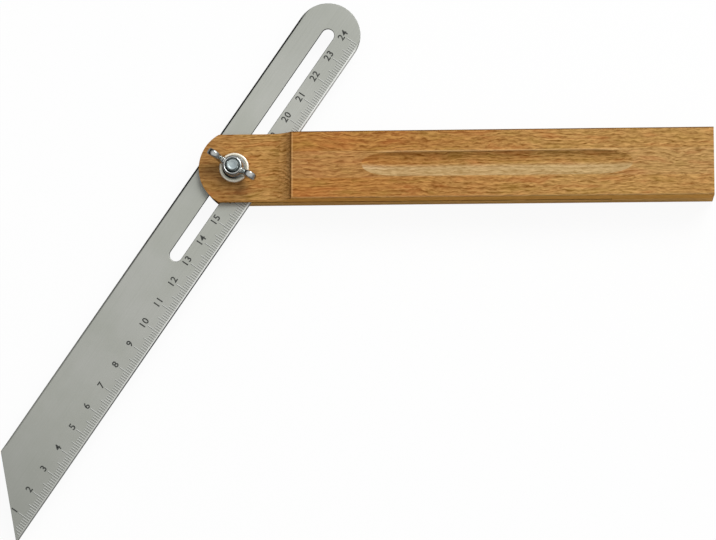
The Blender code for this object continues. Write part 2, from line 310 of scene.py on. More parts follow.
def head_outline_keeper():
    """What the stock is trimmed to: a round head that meets the long edges at a slight corner."""
    reach = STOCK_WIDTH / 2 + OVERRUN
    corner_angle = math.asin(STOCK_WIDTH / 2 / HEAD_RADIUS)
    head = arc(
        (HEAD_CENTRE, 0), HEAD_RADIUS, math.pi - corner_angle, math.pi + corner_angle, 200
    )
    butt = PIVOT_TO_BUTT + OVERRUN
    outline = [*head, (head[-1][0], -reach), (butt, -reach), (butt, reach), (head[0][0], reach)]
    bm = prism(outline, -OVERRUN, STOCK_THICKNESS + OVERRUN, upright)
    return new_object("head_outline", bm)


def recess_cutter():
    """Clears the front of the head down to a flat floor, and rises to the front in a cove."""
    rise = STOCK_THICKNESS - RECESS_FLOOR
    run = math.sqrt(rise * (2 * COVE_RADIUS - rise))
    centre = (RECESS_LENGTH - run, RECESS_FLOOR + COVE_RADIUS)
    end_angle = -math.pi / 2 + math.asin(run / COVE_RADIUS)
    above = STOCK_THICKNESS + OVERRUN
    end = HEAD_CENTRE - HEAD_RADIUS - 2 * OVERRUN
    outline = [
        (end, RECESS_FLOOR),
        *arc(centre, COVE_RADIUS, -math.pi / 2, end_angle, 200),
        (RECESS_LENGTH, above),
        (end, above),
    ]
    reach = STOCK_WIDTH / 2 + OVERRUN
    return new_object("recess", prism(outline, -reach, reach, along_width))


def kerf_cutter():
    end = HEAD_CENTRE - HEAD_RADIUS - 2 * OVERRUN
    reach = STOCK_WIDTH / 2 + OVERRUN
    top = KERF_FLOOR + KERF_HEIGHT
    outline = [(end, KERF_FLOOR), (KERF_LENGTH, KERF_FLOOR), (KERF_LENGTH, top), (end, top)]
    return new_object("kerf", prism(outline, -reach, reach, along_width))


def groove_cutter():
    """A round-nosed cutter's path: level along the middle, lifting out along an arc at each end."""
    half_width = GROOVE_WIDTH / 2
    nose_radius = (half_width**2 + GROOVE_DEPTH**2) / (2 * GROOVE_DEPTH)
    lift = GROOVE_DEPTH + OVERRUN
    run_out = math.sqrt(lift * (2 * GROOVE_RUN_IN_RADIUS - lift))
    run_in = math.sqrt(GROOVE_DEPTH * (2 * GROOVE_RUN_IN_RADIUS - GROOVE_DEPTH))
    level_start = GROOVE_START + run_in
    level_end = GROOVE_START + GROOVE_LENGTH - run_in
    nose_height = STOCK_THICKNESS - GROOVE_DEPTH + nose_radius
    steps = 28
    path = []
    for step in range(steps + 1):
        back = run_out * (1 - step / steps)
        rise = GROOVE_RUN_IN_RADIUS - math.sqrt(GROOVE_RUN_IN_RADIUS**2 - back**2)
        path.append((level_start - back, nose_height + rise))
    path += [(level_start + level_end - x, height) for x, height in reversed(path)]
    sections = []
    for x, height in path:
        circle = arc((0, height), nose_radius, 0, math.tau, 160)[:-1]
        sections.append([(x, y, z) for y, z in circle])
    return new_object("groove", capped_rings(sections))


def disc_cutter(name, radius, low, high):
    facets = 96
    rings = [round_ring(radius, low, facets), round_ring(radius, high, facets)]
    return new_object(name, capped_rings(rings))


def make_stock():
    """One beech bar: round head, nut recess, kerf, finger groove, bolt hole and head seat."""
    stock = new_object("stock_beech", stock_bar())
    boolean(stock, head_outline_keeper(), "INTERSECT")
    boolean(stock, recess_cutter(), "DIFFERENCE")
    boolean(stock, kerf_cutter(), "DIFFERENCE")
    ease_edges(stock, CUT_EDGE_EASE, 4)
    boolean(stock, groove_cutter(), "DIFFERENCE")
    hole = disc_cutter("bolt_hole", BOLT_BORE_RADIUS, -OVERRUN, RECESS_FLOOR + OVERRUN)
    boolean(stock, hole, "DIFFERENCE")
    seat_depth = BOLT_HEAD_THICKNESS + FIT_GAP
    seat = disc_cutter("head_seat", BOLT_HEAD_RADIUS + FIT_GAP, -OVERRUN, seat_depth)
    boolean(stock, seat, "DIFFERENCE")
    shade_flat_faces_true(stock)
    return stock


# Blade


def along_blade(distance_from_tip, distance_from_edge):
    """A point of the blade from its distance to the tip and to the graduated edge."""
    return (distance_from_tip - PIVOT_TO_TIP, distance_from_edge - BLADE_WIDTH / 2)


def blade_rim():
    """Outline of the blade with the rounding of its edge at each point, counter-clockwise."""
    rim_radius = BLADE_WIDTH / 2
    blunt = TIP_BLUNTNESS
    rim = [
        (along_blade(0.3 * blunt, 0.9 * blunt), SHEARED_EDGE),
        (along_blade(0.15 * blunt, 0.3 * blunt), SHEARED_EDGE),
        (along_blade(blunt, 0), SHEARED_EDGE),
        (along_blade(EDGE_CHANGE, 0), ROLLED_EDGE),
        (along_blade(BLADE_LENGTH / 2, 0), ROLLED_EDGE),
    ]
    centre = along_blade(BLADE_LENGTH - rim_radius, rim_radius)
    round_end = arc(centre, rim_radius, -math.pi / 2, math.pi / 2, 200)
    for number, point in enumerate(round_end):
        from_side = min(number, len(round_end) - 1 - number)
        rolled_share = (ROLLED_POINTS + FADING_POINTS - from_side) / FADING_POINTS
        rolled_share = min(1, max(0, rolled_share))
        rim.append((point, SHEARED_EDGE + (ROLLED_EDGE - SHEARED_EDGE) * rolled_share))
    rim += [
        (along_blade(BLADE_LENGTH / 2, BLADE_WIDTH), ROLLED_EDGE),
        (along_blade(BLADE_WIDTH + EDGE_CHANGE, BLADE_WIDTH), ROLLED_EDGE),
        (along_blade(BLADE_WIDTH, BLADE_WIDTH), SHEARED_EDGE),
        (along_blade(CUT_END, CUT_END), SHEARED_EDGE),
        (along_blade(CUT_START, CUT_START), SHEARED_EDGE),
    ]
    return rim


def slot_rim():
    """Outline of the long slot, clockwise, so that the steel lies to its left."""
    radius = SLOT_WIDTH / 2
    middle = BLADE_WIDTH / 2
    near = along_blade(SLOT_START + radius, middle)
    far = along_blade(BLADE_LENGTH - middle, middle)
    loop = [
        *arc(far, radius, -math.pi / 2, math.pi / 2, 64),
        *arc(near, radius, math.pi / 2, math.pi * 3 / 2, 64),
    ]
    return [(point, SLOT_EDGE) for point in reversed(loop)]


def rounded_wall(bm, rim, steps):
    """The wall round a plate's rim, both its edges rounded over. Returns the two inner rings."""
    half = BLADE_THICKNESS / 2
    insets = []
    for index, (point, radius) in enumerate(rim):
        before = Vector(rim[index - 1][0])
        after = Vector(rim[(index + 1) % len(rim)][0])
        arriving = (Vector(point) - before).normalized()
        leaving = (after - Vector(point)).normalized()
        normals = (Vector((-arriving.y, arriving.x)), Vector((-leaving.y, leaving.x)))
        insets.append((normals[0] + normals[1]) / (1 + normals[0].dot(normals[1])))
    turns = [math.pi / 2 * step / steps for step in range(steps + 1)]
    levels = [(-1, turn) for turn in reversed(turns)] + [(1, turn) for turn in turns]
    support = 0.03 * MM
    rings = []
    for number, (side, turn) in enumerate([levels[0], *levels, levels[-1]]):
        margin = support if number in (0, len(levels) + 1) else 0
        ring = []
        for (point, radius), inset in zip(rim, insets):
            place_in_plan = Vector(point) + inset * (radius * (1 - math.cos(turn)) + margin)
            height = side * (half - min(radius, EDGE_DROP) * (1 - math.sin(turn)))
            ring.append(bm.verts.new((*place_in_plan, half + height)))
        rings.append(ring)
    bridge(bm, rings)
    return rings[0], rings[-1]


def make_blade():
    """A flat strip with rolled long edges, sheared ends and a long slot."""
    bm = bmesh.new()
    outer = rounded_wall(bm, blade_rim(), steps=5)
    slot = rounded_wall(bm, slot_rim(), steps=3)
    for outer_ring, slot_ring in zip(outer, slot):
        edges = []
        for ring in (outer_ring, slot_ring):
            for index, vertex in enumerate(ring):
                edges.append(bm.edges.get((vertex, ring[(index + 1) % len(ring)])))
        bmesh.ops.triangle_fill(bm, use_beauty=True, edges=edges)
    blade = new_object("blade_strip", bm)
    blade.data.shade_smooth()
    blade.data.set_sharp_from_angle(angle=math.radians(50))
    place(blade, BLADE_FLOOR, BLADE_ANGLE)
    return blade


def make_scale_marks():
    """The etched millimetre marks, as one mesh of thin closed slabs let into the blade's face."""
    bm = bmesh.new()
    rim_radius = BLADE_WIDTH / 2
    low = BLADE_THICKNESS - MARK_SUNK
    high = BLADE_THICKNESS + MARK_PROUD
    for number in range(1, LAST_MARK + 1):
        length = next(size for step, size in MARK_LENGTHS.items() if number % step == 0)
        distance = SCALE_ZERO + number * MARK_PITCH
        start = MARK_START
        past = distance + MARK_WIDTH - (BLADE_LENGTH - rim_radius)
        if past > 0:
            start += rim_radius - math.sqrt(rim_radius**2 - past**2)
        end = min(length, distance - MARK_WIDTH - MARK_START)
        if end <= start:
            continue
        sides = (distance - MARK_WIDTH / 2, distance + MARK_WIDTH / 2)
        outline = [(sides[0], start), (sides[1], start), (sides[1], end), (sides[0], end)]
        points = [along_blade(*corner) for corner in outline]
        rings = [[bm.verts.new((*point, height)) for point in points] for height in (low, high)]
        bm.faces.new(rings[0])
        bm.faces.new(rings[1])
        bridge(bm, rings)
    marks = new_object("scale_marks", bm)
    place(marks, BLADE_FLOOR, BLADE_ANGLE)
    return marks


def make_scale_numbers():
    """The centimetre numbers, upright when the graduated edge is below."""
    meshes = []
    for number in range(1, LAST_MARK // 10 + 1):
        curve = bpy.data.curves.new("number", "FONT")
        curve.body = str(number)
        curve.align_x = "CENTER"
        curve.size = NUMBER_HEIGHT / FONT_DIGIT_SHARE
        curve.space_character = NUMBER_SPACING
        curve.offset = NUMBER_WEIGHT * NUMBER_HEIGHT
        curve.extrude = (MARK_PROUD + MARK_SUNK) / 2
        curve.resolution_u = 4
        text = bpy.data.objects.new("number", curve)
        bpy.context.scene.collection.objects.link(text)
        x, y = along_blade(SCALE_ZERO + number * 10 * MARK_PITCH, NUMBER_BASELINE)
        text.location = (x, y, BLADE_THICKNESS + (MARK_PROUD - MARK_SUNK) / 2)
        bpy.context.view_layer.update()
        mesh = bpy.data.meshes.new_from_object(
            text.evaluated_get(bpy.context.evaluated_depsgraph_get())
        )
        mesh.transform(text.matrix_world)
        meshes.append(mesh)
        bpy.data.objects.remove(text, do_unlink=True)
    bm = bmesh.new()
    for mesh in meshes:
        bm.from_mesh(mesh)
    bmesh.ops.remove_doubles(bm, verts=bm.verts, dist=MM / 1000)
    numbers = new_object("scale_numbers", bm)
    place(numbers, BLADE_FLOOR, BLADE_ANGLE)
    return numbers


# Clamp bolt, washer and wing nut


def thread_radius(angle, height):
    """Radius of the clamp bolt's thread: sloping flanks with flattened crests and roots."""
    phase = (height / THREAD_PITCH - angle / math.tau) % 1
    from_crest = abs(2 * phase - 1)
    depth_share = min(1, max(0, from_crest * THREAD_STEEPNESS - THREAD_CREST_FLAT))
    return THREAD_RADIUS - THREAD_DEPTH * depth_share


def make_clamp_bolt():
    """A low flush head, a plain shank through the kerf, then thread up to a chamfered end."""
    facets = 72
    head, shank = BOLT_HEAD_RADIUS, SHANK_RADIUS
    edge, ease, fillet, run_out = 0.4 * MM, 0.12 * MM, 0.2 * MM, 0.3 * MM
    plain = [
        (BOLT_HEAD_DISH_RADIUS, ease),
        (head - 4 * edge, ease / 2),
        (head - edge, 0),
        (head - ease, ease),
        (head, edge),
        (head, BOLT_HEAD_THICKNESS - fillet),
        (head - fillet, BOLT_HEAD_THICKNESS),
        (shank + fillet, BOLT_HEAD_THICKNESS),
        (shank, BOLT_HEAD_THICKNESS + fillet),
        (shank, THREAD_START - run_out),
    ]
    rings = [round_ring(radius, height, facets) for radius, height in plain]
    rise = THREAD_PITCH / 10
    height = THREAD_START
    while height < BOLT_TOP + rise / 2:
        limit = min(THREAD_RADIUS, THREAD_RADIUS - BOLT_END_CHAMFER + (BOLT_TOP - height))
        ring = []
        for step in range(facets):
            angle = math.tau * step / facets
            radius = min(thread_radius(angle, height), limit)
            ring.append((radius * math.cos(angle), radius * math.sin(angle), min(height, BOLT_TOP)))
        rings.append(ring)
        height += rise
    dished_end = ((1.65 * MM, 0), (1.45 * MM, 0.07 * MM), (0.6 * MM, 0.1 * MM))
    rings += [round_ring(radius, BOLT_TOP - sink, facets) for radius, sink in dished_end]
    bolt = new_object("threaded_bolt", capped_rings(rings))
    bolt.data.shade_smooth()
    bolt.data.set_sharp_from_angle(angle=math.radians(38))
    return bolt


def make_washer():
    """A stamped flat washer: rounded over where the punch entered, sharper underneath."""
    outer, bore, thick = WASHER_RADIUS, BOLT_BORE_RADIUS, WASHER_THICKNESS
    rolled, sharp, inner_roll, margin = 0.45 * MM, 0.12 * MM, 0.2 * MM, 0.05 * MM
    inner_centre = (bore + inner_roll, thick - inner_roll)
    profile = [
        *arc((outer - rolled, thick - rolled), rolled, 0, math.pi / 2, 32),
        (bore + inner_roll + margin, thick),
        *arc(inner_centre, inner_roll, math.pi / 2, math.pi, 24),
        (bore, sharp),
        (bore + sharp, 0),
        (outer - sharp, 0),
        (outer, sharp),
    ]
    washer = new_object("flat_washer", turned_ring(profile, 144))
    shade_flat_faces_true(washer)
    place(washer, WASHER_FLOOR, 0)
    return washer


def nut_hub():
    """A round hub on a sloping flange, countersunk where the thread comes out."""
    bore, foot, top = BOLT_BORE_RADIUS, HUB_FOOT_RADIUS, HUB_TOP_RADIUS
    lead_in, foot_edge, swelling = 0.32 * MM, 0.15 * MM, 0.12 * MM
    flange_edge, slope_end, waist_height = 0.4 * MM, 1.0 * MM, 1.35 * MM
    waist = foot - 0.95 * MM
    profile = [
        (bore, 0),
        (foot - foot_edge, 0),
        (foot, foot_edge),
        (foot, flange_edge),
        (waist + swelling, slope_end),
        (waist, waist_height),
        (waist - swelling, HUB_HEIGHT * 0.45),
        (top, HUB_HEIGHT - HUB_EDGE),
        (top - HUB_EDGE, HUB_HEIGHT),
        (bore + lead_in, HUB_HEIGHT),
        (bore, HUB_HEIGHT - lead_in),
    ]
    return turned_ring(profile, 96)


def wing_edges():
    """Lower and upper edge of a wing seen from the side, from the hub to the top of its ear."""
    depth_in_hub = (HUB_TOP_RADIUS - BOLT_BORE_RADIUS) * 0.6
    root = HUB_TOP_RADIUS - depth_in_hub
    centre = (WING_REACH - EAR_RADIUS, WING_HEIGHT - EAR_RADIUS)
    edges = []
    for edge in (WING_LOWER_EDGE, WING_UPPER_EDGE):
        start = edge["meets_ear"]
        ear = arc(centre, EAR_RADIUS, start, EAR_TOP, math.tau * EAR_STEPS / abs(EAR_TOP - start))
        hub_point = (root, HUB_HEIGHT * edge["foot"])
        far_reach = math.copysign(1, EAR_TOP - start) * WING_REACH * edge["far"]
        handles = (
            (root + WING_REACH * edge["near"], hub_point[1]),
            (ear[0][0] + far_reach * math.sin(start), ear[0][1] - far_reach * math.cos(start)),
        )
        ends = [Vector((*point, 0)) for point in (hub_point, *handles, ear[0])]
        curve = [(point.x, point.y) for point in interpolate_bezier(*ends, 30)]
        edges.append([*curve[:-1], *ear])
    return edges


def flattened(value):
    """Pushes a sine or cosine outwards, so that an oval becomes a rounded rectangle."""
    return math.copysign(abs(value) ** SECTION_FLATNESS, value)


def wing_body():
    """One wing, lofted through flattened oval sections that join its two edges."""
    facets = 48
    lower_edge, upper_edge = wing_edges()
    sections = []
    for lower, upper in zip(lower_edge[:-1], upper_edge[:-1]):
        middle = ((lower[0] + upper[0]) / 2, (lower[1] + upper[1]) / 2)
        half = ((upper[0] - lower[0]) / 2, (upper[1] - lower[1]) / 2)
        thinning = (WING_ROOT_THICKNESS - WING_TIP_THICKNESS) * middle[0] / WING_REACH
        half_thickness = min((WING_ROOT_THICKNESS - thinning) / 2, math.hypot(*half))
        section = []
        for step in range(facets):
            angle = math.tau * step / facets
            along, across = flattened(math.cos(angle)), flattened(math.sin(angle))
            section.append(
                (middle[0] + half[0] * along, half_thickness * across, middle[1] + half[1] * along)
            )
        sections.append(section)
    return capped_rings(sections)


def make_wing_nut():
    """Hub and two wings grown together, with soft fillets where they meet."""
    nut = new_object("pressed_wing_nut", nut_hub())
    for turn in (0, math.pi):
        wing = new_object("wing", wing_body())
        wing.data.transform(Matrix.Rotation(turn, 4, "Z"))
        boolean(nut, wing, "UNION")
    remesh = nut.modifiers.new("one_skin", "REMESH")
    remesh.mode = "VOXEL"
    remesh.voxel_size = NUT_VOXEL
    smooth = nut.modifiers.new("soft_fillets", "SMOOTH")
    smooth.factor = 0.5
    smooth.iterations = NUT_SMOOTHING_ROUNDS
    decimate = nut.modifiers.new("fewer_faces", "DECIMATE")
    decimate.ratio = NUT_FACE_SHARE
    with_modifiers_applied(nut)
    nut.data.shade_smooth()
    place(nut, NUT_FLOOR, WING_ANGLE)
    return nut


# Materials


def colour(red, green, blue):
    """A screen colour from 0 to 255 as linear light."""
    channels = [value / 255 for value in (red, green, blue)]
    return (
        *(v / 12.92 if v <= 0.04045 else ((v + 0.055) / 1.055) ** 2.4 for v in channels),
        1.0,
    )


# Colours of the wood
DARK_FLECKS = colour(119, 63, 3)
PALER_FLECKS = colour(115, 74, 12)
LIGHT_FIBRES = colour(200, 142, 74)
PALER_FIBRES = colour(210, 163, 97)
REDDISH_WOOD = colour(176, 96, 46)
OLIVE_WOOD = colour(146, 116, 42)
# Painted shade that darkens the head's round end
HEAD_END_SHADE = colour(116, 60, 28)
# Painted light: paler grain in the cove, which faces away from the key light
COVE_FLECKS = colour(138, 88, 30)
COVE_FIBRES = colour(240, 186, 116)
# Painted shade along the steep top of the cove, at the step
COVE_TOP_SHADE = colour(92, 54, 20)
# Painted light and sheen: paler colours on the side face, which is in shade, greyer below the kerf
LOWER_SIDE = colour(225, 175, 105)
UPPER_SIDE = colour(225, 164, 81)
# Painted sheen: a pale whitish tone on the groove's wall that faces the light
GROOVE_SHEEN_FLECKS = colour(146, 118, 70)
GROOVE_SHEEN_FIBRES = colour(200, 176, 132)
# Painted highlight on the arrises of the step, the groove's upper brim and the front's lower edge
ARRIS_HIGHLIGHT_WOOD = colour(226, 184, 126)
# Darker tone along the upper arris and round the head's rim
DARK_RIM_TONE = colour(92, 62, 24)
END_GRAIN_WOOD = colour(160, 106, 56)
END_GRAIN_PORES = colour(118, 72, 34)

# Colours of the blade
SATIN_STEEL = colour(168, 170, 162)
PALE_STEEL = colour(176, 177, 171)
STREAKED_STEEL = colour(166, 168, 160)
# Painted sheen fall-off: darker steel towards the tip and the round end
SHEEN_FALLOFF_STEEL = colour(150, 152, 145)
# Sheared steel on the steep edge walls: a rougher real finish, darkened further by painted shade and
# dark reflection
SHEARED_STEEL_AND_SHADE = colour(128, 130, 125)
# Painted highlight along the rolled graduated edge
EDGE_HIGHLIGHT_STEEL = colour(226, 227, 224)
# Painted dark reflection and shade: near-black along the blade's edges
EDGE_DARK_REFLECTION = colour(30, 31, 28)


def fill(tree, node, pairs):
    """Sets a node's inputs from socket and value pairs, and links the values that are sockets."""
    for socket, value in dict(pairs).items():
        if isinstance(value, bpy.types.NodeSocket):
            tree.links.new(value, node.inputs[socket])
        else:
            node.inputs[socket].default_value = value


def add(tree, kind, inputs=(), **properties):
    """Adds a node with its properties set and its inputs filled."""
    node = tree.nodes.new(kind)
    for name, value in properties.items():
        setattr(node, name, value)
    fill(tree, node, inputs)
    return node


def calculate(tree, operation, *values, clamp=False):
    node = add(tree, "ShaderNodeMath", enumerate(values), operation=operation, use_clamp=clamp)
    return node.outputs[0]


def times(tree, first, *others):
    """Multiplies values together."""
    for other in others:
        first = calculate(tree, "MULTIPLY", first, other)
    return first


def vector_math(tree, operation, *values):
    return add(tree, "ShaderNodeVectorMath", enumerate(values), operation=operation).outputs


def scaled(tree, vector, *factors):
    return vector_math(tree, "MULTIPLY", vector, factors)["Vector"]


def rotated(tree, vector, angle):
    """Turns a vector about the upright axis."""
    pairs = {"Vector": vector, "Angle": angle}
    return add(tree, "ShaderNodeVectorRotate", pairs, rotation_type="Z_AXIS").outputs[0]


def axes_of(tree, vector):
    """The three parts of a vector, under the names X, Y and Z."""
    return add(tree, "ShaderNodeSeparateXYZ", {0: vector}).outputs


def surface_direction(tree):
    """Which way the surface faces, in the piece's own axes."""
    return add(tree, "ShaderNodeTexCoord").outputs["Normal"]


def blend(tree, factor, first, second):
    """Mixes two colours."""
    pairs = {0: factor, 6: first, 7: second}
    return add(tree, "ShaderNodeMix", pairs, data_type="RGBA").outputs[2]


def fade(tree, value, low, high, low_out=0.0, high_out=1.0):
    """A smooth step from one value to another."""
    pairs = {"Value": value, "From Min": low, "From Max": high, "To Min": low_out, "To Max": high_out}
    return add(tree, "ShaderNodeMapRange", pairs, interpolation_type="SMOOTHSTEP").outputs[0]


def pulse(tree, value, low, high, soft):
    """One between two values, fading to nothing over a soft width outside them."""
    rising = fade(tree, value, low - soft, low)
    falling = fade(tree, value, high, high + soft, 1.0, 0.0)
    return times(tree, rising, falling)


def noise(tree, vector, detail, roughness=0.5):
    pairs = {"Vector": vector, "Scale": 1.0, "Detail": detail, "Roughness": roughness}
    return add(tree, "ShaderNodeTexNoise", pairs).outputs


def bump(tree, height, distance):
    return add(tree, "ShaderNodeBump", {"Height": height, "Distance": distance}).outputs[0]


def new_group(name, inputs, outputs):
    """An empty node group with named sockets. Returns its tree and its two end nodes' sockets."""
    tree = bpy.data.node_groups.new(name, "ShaderNodeTree")
    for label, kind, value in inputs:
        socket = tree.interface.new_socket(label, in_out="INPUT", socket_type="NodeSocket" + kind)
        if value is not None:
            socket.default_value = value
    for label, kind in outputs:
        tree.interface.new_socket(label, in_out="OUTPUT", socket_type="NodeSocket" + kind)
    return tree, add(tree, "NodeGroupInput").outputs, add(tree, "NodeGroupOutput").inputs


def use_group(tree, group, **values):
    """Places a node group in a material, with its own values."""
    pairs = {name.replace("_", " "): value for name, value in values.items()}
    return add(tree, "ShaderNodeGroup", pairs, node_tree=group).outputs


def millimetres_group():
    """Place on a piece in millimetres, turned about the pivot so that X runs along its grain."""
    tree, given, result = new_group(
        "millimetres_along_grain", [("Grain Angle", "Float", 0.0)], [("Place", "Vector")]
    )
    metres = add(tree, "ShaderNodeTexCoord").outputs["Object"]
    back = calculate(tree, "MULTIPLY", given["Grain Angle"], -1.0)
    tree.links.new(scaled(tree, rotated(tree, metres, back), 1000, 1000, 1000), result["Place"])
    return tree


def streaks_group():
    """Streaks along X: how long and how wide they are in millimetres, from 0 to 1."""
    sockets = [
        ("Place", "Vector", None),
        ("Length", "Float", 3.0),
        ("Width", "Float", 0.4),
        ("Seed", "Float", 0.0),
    ]
    tree, given, result = new_group("streaks", sockets, [("Streaks", "Float")])
    along = calculate(tree, "DIVIDE", 1.0, given["Length"])
    across = calculate(tree, "DIVIDE", 1.0, given["Width"])
    pairs = {"X": along, "Y": across, "Z": across}
    frequencies = add(tree, "ShaderNodeCombineXYZ", pairs).outputs[0]
    stretched = vector_math(tree, "MULTIPLY", given["Place"], frequencies)["Vector"]
    shifted = vector_math(tree, "ADD", stretched, given["Seed"])["Vector"]
    tree.links.new(noise(tree, shifted, 2.5, 0.55)[0], result["Streaks"])
    return tree


def clouds_group():
    """Soft clouds of a given size in millimetres, from 0 to 1: handling, uneven finish."""
    sockets = [("Place", "Vector", None), ("Size", "Float", 20.0)]
    tree, given, result = new_group("clouds", sockets, [("Clouds", "Float")])
    frequency = calculate(tree, "DIVIDE", 1.0, given["Size"])
    shrunk = vector_math(tree, "MULTIPLY", given["Place"], frequency)["Vector"]
    tree.links.new(noise(tree, shrunk, 3.0, 0.6)[0], result["Clouds"])
    return tree


MILLIMETRES = millimetres_group()
STREAKS = streaks_group()
CLOUDS = clouds_group()


def millimetres(tree, grain_angle=0.0):
    return use_group(tree, MILLIMETRES, Grain_Angle=grain_angle)["Place"]


def streaks(tree, where, length, width, seed=0.0):
    return use_group(tree, STREAKS, Place=where, Length=length, Width=width, Seed=seed)["Streaks"]


def clouds(tree, where, size):
    return use_group(tree, CLOUDS, Place=where, Size=size)["Clouds"]


def swayed(tree, where, coarseness, reach):
    """Lets the grain wander sideways as it runs along X."""
    drift = noise(tree, scaled(tree, where, *coarseness), 1.0)["Color"]
    return vector_math(tree, "ADD", where, scaled(tree, drift, 0.0, reach, reach))["Vector"]


def new_material(name):
    """An empty material. Returns it with its tree and its Principled shader."""
    material = bpy.data.materials.new(name)
    material.use_nodes = True
    return material, material.node_tree, material.node_tree.nodes["Principled BSDF"]


def set_inputs(tree, shader, **values):
    """Sets or links inputs of a shader by name, with _ for a space."""
    fill(tree, shader, {name.replace("_", " "): value for name, value in values.items()})


# Beech


def beech_grain(tree, on_grain):
    """Light fibres, wavy lines and short dark dashes, under a broad darker figure."""
    fibres = streaks(tree, on_grain, 4.4, 0.5)
    dashes = streaks(tree, on_grain, 2.8, 0.5, 31.0)
    figure = streaks(tree, on_grain, 60.0, 2.6, 7.0)
    fibre_share, dash_share, line_share, figure_share = 0.4, 0.32, 0.28, 0.22
    axes = axes_of(tree, on_grain)
    across = calculate(tree, "ADD", axes["Z"], axes["Y"])
    bent = calculate(tree, "MULTIPLY_ADD", fibres, 5.0, times(tree, across, 3.9))
    lines = calculate(tree, "MULTIPLY_ADD", calculate(tree, "SINE", bent), 0.5, 0.5)
    grain = times(tree, fade(tree, fibres, 0.34, 0.66), fibre_share)
    grain = calculate(tree, "MULTIPLY_ADD", fade(tree, dashes, 0.34, 0.62), dash_share, grain)
    grain = calculate(tree, "MULTIPLY_ADD", lines, line_share, grain)
    return calculate(tree, "SUBTRACT", grain, fade(tree, figure, 0.58, 0.74, 0.0, figure_share))


def beech_tones(tree, on_grain, grain, along):
    """The wood's colours: paler on the head and towards the butt, reddish and olive in patches, and
    painted shade darkening the head's round end.
    """
    patches = streaks(tree, on_grain, 24.0, 5.0, 3.0)
    towards_butt = fade(tree, along, 20.0, 150.0)
    on_head = fade(tree, along, 18.0, 25.0, 0.8, 0.0)
    paler = calculate(tree, "ADD", calculate(tree, "ADD", towards_butt, on_head), patches)
    paler = calculate(tree, "SUBTRACT", paler, 0.5, clamp=True)
    dark = blend(tree, paler, DARK_FLECKS, PALER_FLECKS)
    light = blend(tree, paler, LIGHT_FIBRES, PALER_FIBRES)
    tone = blend(tree, grain, dark, light)
    warmth = streaks(tree, on_grain, 13.0, 2.8, 11.0)
    tone = blend(tree, fade(tree, warmth, 0.5, 0.72, 0.0, 0.3), tone, REDDISH_WOOD)
    tone = blend(tree, fade(tree, warmth, 0.3, 0.5, 0.3, 0.0), tone, OLIVE_WOOD)
    # Painted shade darkening the head's round end, left of the pivot
    return blend(tree, fade(tree, along, -14.0, 14.0, 0.24, 0.03), tone, HEAD_END_SHADE)


def cove_and_side_tones(tree, tone, grain, spot, facing):
    """Painted light on the grain in the cove, painted shade along the cove's steep top, and painted
    light and sheen that make the shaded side face paler.
    """
    cove_end = RECESS_LENGTH / MM
    # Painted light: paler grain on the cove's slope
    on_cove = times(
        tree,
        pulse(tree, spot["X"], cove_end - 4.9, cove_end - 1.0, 1.0),
        fade(tree, facing["X"], -0.5, -0.3, 1.0, 0.0),
        0.6,
    )
    tone = blend(tree, on_cove, tone, blend(tree, grain, COVE_FLECKS, COVE_FIBRES))
    # Painted shade: darker along the cove's steep top
    on_brow = times(
        tree,
        pulse(tree, spot["X"], cove_end - 0.6, cove_end + 0.1, 0.6),
        fade(tree, facing["X"], -0.8, -0.5, 1.0, 0.0),
        0.25,
    )
    tone = blend(tree, on_brow, tone, COVE_TOP_SHADE)
    # Painted light and sheen: the shaded side face is made paler, and greyer below the kerf
    side_tone = blend(tree, fade(tree, spot["Z"], 9.0, 11.5), LOWER_SIDE, UPPER_SIDE)
    return blend(tree, fade(tree, facing["Y"], -0.96, -0.86, 0.6, 0.0), tone, side_tone)


def worn_tones(tree, tone, grain, spot, facing):
    """Painted sheen on the groove's wall that faces the light, and painted highlights on three
    arrises.
    """
    groove_edge = GROOVE_WIDTH / 2 / MM
    step = RECESS_LENGTH / MM
    off_middle = calculate(tree, "ABSOLUTE", spot["Y"])
    in_groove = fade(tree, off_middle, groove_edge + 0.3, groove_edge + 0.7, 1.0, 0.0)
    on_front = fade(tree, spot["Z"], 17.0, 17.6)
    # Painted sheen on the groove's lower wall, which faces the light
    painted_sheen = times(tree, in_groove, on_front, fade(tree, facing["Y"], -0.12, 0.3, 0.0, 0.75))
    tone = blend(tree, painted_sheen, tone, blend(tree, grain, GROOVE_SHEEN_FLECKS, GROOVE_SHEEN_FIBRES))
    # Painted highlights along the groove's upper brim, the step's arris and the front's lower arris
    groove_brim = times(
        tree,
        pulse(tree, spot["Y"], groove_edge - 0.2, groove_edge + 0.2, 0.25),
        pulse(tree, spot["X"], 62.0, 150.0, 6.0),
        on_front,
        0.45,
    )
    step_arris = times(
        tree,
        pulse(tree, spot["X"], step + 0.2, step + 0.4, 0.25),
        fade(tree, facing["Z"], 0.5, 0.9),
        0.3,
    )
    low_arris = times(
        tree,
        pulse(tree, facing["Y"], -0.8, -0.2, 0.12),
        fade(tree, spot["Z"], 19.0, 19.4),
        fade(tree, spot["Y"], -12.6, -12.2, 1.0, 0.0),
        0.22,
    )
    painted_highlight_share = calculate(tree, "MAXIMUM", step_arris, groove_brim)
    return blend(tree, calculate(tree, "MAXIMUM", painted_highlight_share, low_arris), tone, ARRIS_HIGHLIGHT_WOOD)


def varnish_tones(tree, tone, spot, facing):
    """Darker along the upper arris and round the head's rim."""
    on_round = fade(tree, spot["X"], 3.0, 8.0, 1.0, 0.0)
    away = calculate(tree, "MAXIMUM", facing["Y"], times(tree, facing["X"], on_round, -1.0))
    at_rim = calculate(tree, "MAXIMUM", fade(tree, spot["Y"], 12.0, 12.4), on_round)
    darker_rim = times(tree, fade(tree, away, 0.15, 0.5), at_rim, 0.8)
    return blend(tree, darker_rim, tone, DARK_RIM_TONE)


